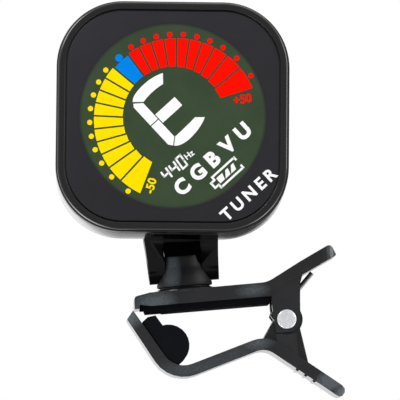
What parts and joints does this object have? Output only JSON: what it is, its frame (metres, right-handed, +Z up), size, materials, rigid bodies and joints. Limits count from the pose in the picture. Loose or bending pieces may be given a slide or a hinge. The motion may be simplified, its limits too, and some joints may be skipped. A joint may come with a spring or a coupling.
{
  "type": "clip-on tuner",
  "caption": "Headstock tuner: rounded square colour-display head on a turning, tilting neck above a sprung clip with rubber pads.",
  "frame": {"origin": "on the upper pad's flat clamping face, straight below the neck's swivel axis", "axes": "+X along the jaws towards the handles, -Y the way the display faces, +Z up from the clamped surface towards the head"},
  "size_m": [0.0566, 0.0251, 0.0848],
  "materials": {
    "casing_plastic": "fine satin moulded black",
    "clip_plastic": "satin moulded black",
    "pad_rubber": "matt black rubber",
    "window_print": "gloss window, printed charcoal behind",
    "display_glass": "dark green colour display",
    "light_guide": "clear white moulding",
    "board_laminate": "green solder mask",
    "chip_resin": "matt moulded resin",
    "bright_steel": "bright plated steel",
    "spring_steel": "drawn spring wire",
    "dark_steel": "black oxide steel",
    "contact_brass": "bright brass",
    "washer_nylon": "black nylon",
    "button_rubber": "satin rubber"
  },
  "bodies": {
    "clip": {"upper_jaw": "clip_plastic", "upper_pad": "pad_rubber", "pivot_rivet": "bright_steel", "rivet_collar": "bright_steel", "torsion_spring": "spring_steel", "swivel_washer": "washer_nylon"},
    "lower_clip": {"lower_jaw": "clip_plastic", "lower_pad": "pad_rubber"},
    "neck": {"neck_knuckle": "clip_plastic", "swivel_screw": "dark_steel"},
    "yoke": {"yoke": "clip_plastic", "tilt_pin": "dark_steel", "friction_washer": "washer_nylon"},
    "head": {"front_bezel": "casing_plastic", "display_window": "window_print", "lcd_panel": "display_glass", "backlight_panel": "light_guide", "backlight_led": "light_guide", "display_connector": "pad_rubber", "circuit_board": "board_laminate", "microcontroller": "chip_resin", "timing_crystal": "bright_steel", "piezo_sensor": "contact_brass", "power_switch": "chip_resin", "mode_switch": "chip_resin", "battery": "bright_steel", "battery_contact_negative": "contact_brass", "battery_contact_positive": "contact_brass", "back_case": "casing_plastic", "retaining_ring": "dark_steel", "case_screw_1": "dark_steel", "case_screw_2": "dark_steel", "case_screw_3": "dark_steel", "case_screw_4": "dark_steel"},
    "power_button": {"power_button": "button_rubber"},
    "mode_button": {"mode_button": "button_rubber"},
    "battery_door": {"battery_door": "casing_plastic"}
  },
  "joints": [
    {"name": "jaw_open", "type": "hinge", "parent": "clip", "child": "lower_clip", "pos_m": [0.0203, 0, -0.00355], "axis": [0, -1, 0], "range_deg": [0, 40], "stiffness_Nm_per_rad": 0.12, "springref_deg": -68.75, "deforming": ["torsion_spring"]},
    {"name": "neck_swivel", "type": "hinge", "parent": "clip", "child": "neck", "pos_m": [0, 0, 0.005], "axis": [0, 0, 1], "continuous": true},
    {"name": "head_tilt", "type": "hinge", "parent": "neck", "child": "yoke", "pos_m": [0, 0, 0.009], "axis": [1, 0, 0], "range_deg": [-70, 15]},
    {"name": "head_turn", "type": "hinge", "parent": "yoke", "child": "head", "pos_m": [0, 0.0023, 0.03821], "axis": [0, -0.9969, 0.0785], "continuous": true},
    {"name": "power_press", "type": "slide", "parent": "head", "child": "power_button", "axis": [0, -0.9969, 0.0785], "range_m": [0, 0.0005], "stiffness_N_per_m": 1500, "springref_m": -0.0003},
    {"name": "mode_press", "type": "slide", "parent": "head", "child": "mode_button", "axis": [0, -0.9969, 0.0785], "range_m": [0, 0.0005], "stiffness_N_per_m": 1500, "springref_m": -0.0003},
    {"name": "door_turn", "type": "hinge", "parent": "head", "child": "battery_door", "pos_m": [0, 0.0023, 0.03821], "axis": [0, 0.9969, -0.0785], "range_deg": [0, 45]}
  ]
}
